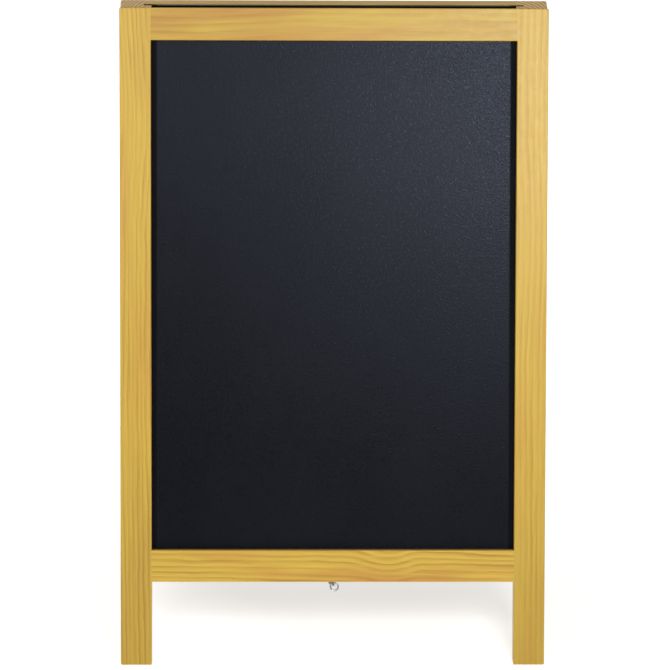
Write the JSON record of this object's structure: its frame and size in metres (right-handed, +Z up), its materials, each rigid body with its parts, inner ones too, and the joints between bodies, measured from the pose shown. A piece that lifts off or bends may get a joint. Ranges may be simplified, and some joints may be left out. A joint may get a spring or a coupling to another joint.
{
  "type": "sandwich board",
  "caption": "Free-standing folding pavement board: leaning timber frames hinged at the top and tied by a chain, each holding a lift-out black chalk panel.",
  "frame": {"origin": "centre of the footprint, on the ground", "axes": "+X across the board (right of the front frame), -Y out of the front frame's face, +Z up"},
  "size_m": [0.55, 0.4824, 0.8208],
  "materials": {
    "pine_lacquered": "satin lacquer",
    "beech_dowel": "bare, glued",
    "chalk_panel": "matt black chalk coating, fine texture",
    "zinc_steel": "bright zinc"
  },
  "bodies": {
    "front_frame": {"front_stile_left": "pine_lacquered", "front_stile_right": "pine_lacquered", "front_top_rail": "pine_lacquered", "front_bottom_rail": "pine_lacquered", "front_top_dowels": "beech_dowel", "front_bottom_dowels": "beech_dowel", "hinge_left_front_leaf": "zinc_steel", "hinge_left_front_screws": "zinc_steel", "hinge_right_front_leaf": "zinc_steel", "hinge_right_front_screws": "zinc_steel", "hinge_left_pin": "zinc_steel", "hinge_right_pin": "zinc_steel", "screw_hook": "zinc_steel", "chain": "zinc_steel"},
    "rear_frame": {"rear_stile_left": "pine_lacquered", "rear_stile_right": "pine_lacquered", "rear_top_rail": "pine_lacquered", "rear_bottom_rail": "pine_lacquered", "rear_top_dowels": "beech_dowel", "rear_bottom_dowels": "beech_dowel", "hinge_left_rear_leaf": "zinc_steel", "hinge_left_rear_screws": "zinc_steel", "hinge_right_rear_leaf": "zinc_steel", "hinge_right_rear_screws": "zinc_steel", "screw_eye": "zinc_steel"},
    "front_board": {"front_panel": "chalk_panel"},
    "rear_board": {"rear_panel": "chalk_panel"}
  },
  "joints": [
    {"name": "fold", "type": "hinge", "parent": "front_frame", "child": "rear_frame", "pos_m": [0, 0, 0.80483], "axis": [-1, 0, 0], "range_deg": [0, 30], "deforming": ["chain"]},
    {"name": "front_panel_slide", "type": "slide", "parent": "front_frame", "child": "front_board", "axis": [0, 0.2588, 0.9659], "range_m": [0, 0.76]},
    {"name": "rear_panel_slide", "type": "slide", "parent": "rear_frame", "child": "rear_board", "axis": [0, -0.2588, 0.9659], "range_m": [0, 0.76]}
  ]
}
